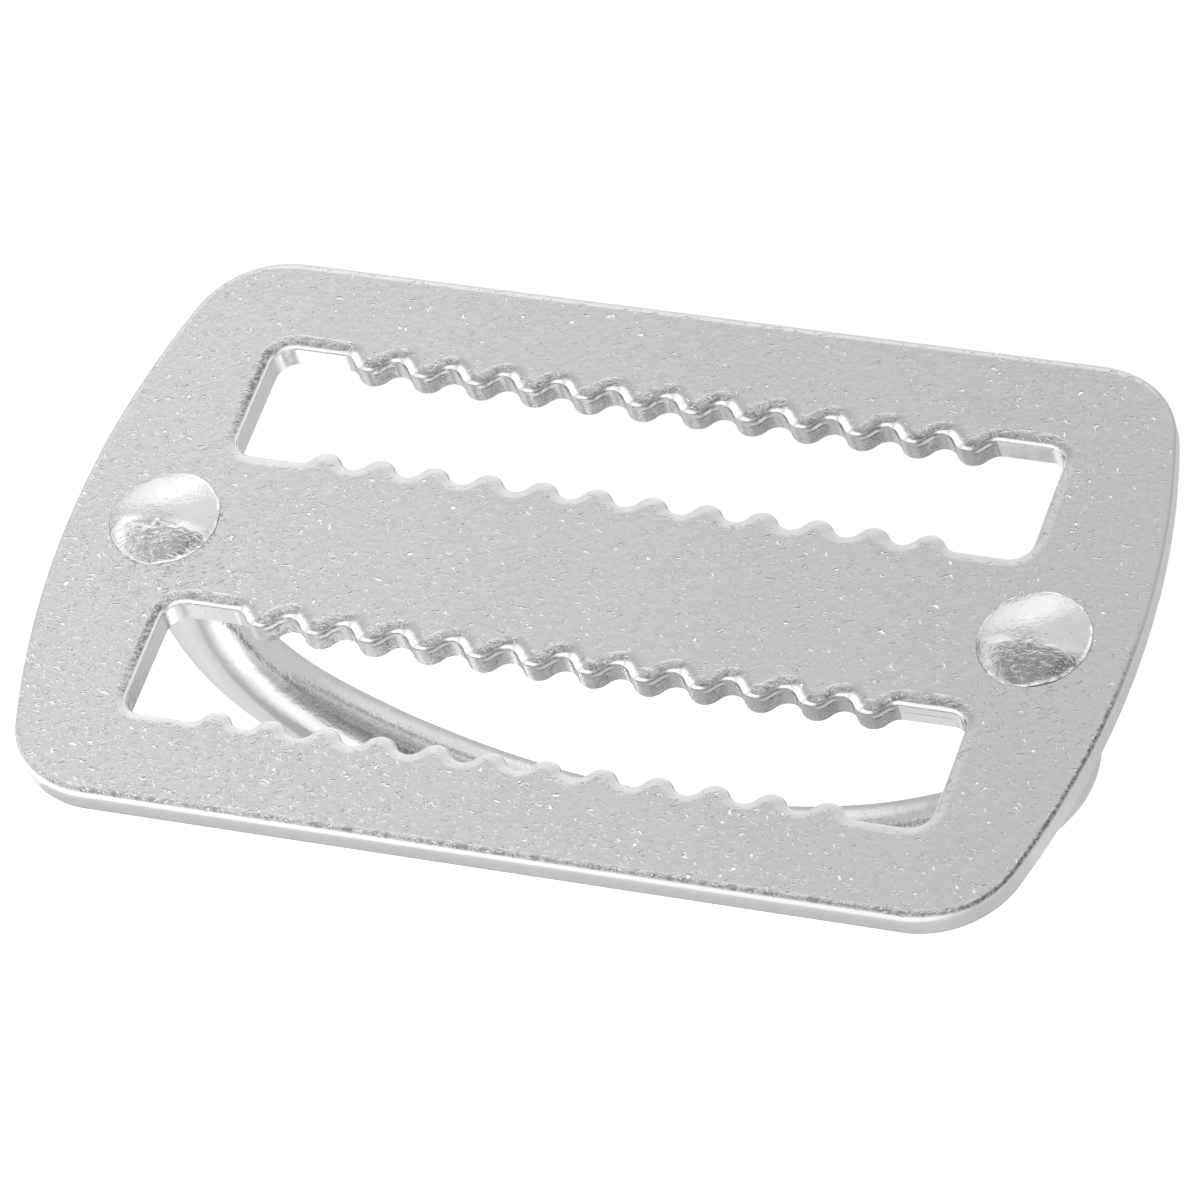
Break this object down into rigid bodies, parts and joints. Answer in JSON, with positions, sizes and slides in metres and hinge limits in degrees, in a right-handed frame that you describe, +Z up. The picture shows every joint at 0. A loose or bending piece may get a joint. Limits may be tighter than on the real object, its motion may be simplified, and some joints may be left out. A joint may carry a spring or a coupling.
{
  "type": "d-ring buckle",
  "caption": "Steel webbing slide with toothed slots on both sides of a middle bar and a D-ring bent square to the plate, riveted through it.",
  "frame": {"origin": "centre of the bounding box's bottom face, on the surface that the part rests on", "axes": "+X along the plate, +Y from the plate's front to the ring behind it, +Z up as it rests on the plate's lower edge and the ring's bow"},
  "size_m": [0.07, 0.0364, 0.0349],
  "materials": {
    "plate_steel": "tumbled satin stainless steel sheet with fine scratches and polished rims",
    "ring_steel": "polished stainless steel wire with hand-riveted domed heads"
  },
  "bodies": {
    "root": {"slide_plate": "plate_steel", "d_ring": "ring_steel"}
  },
  "joints": []
}
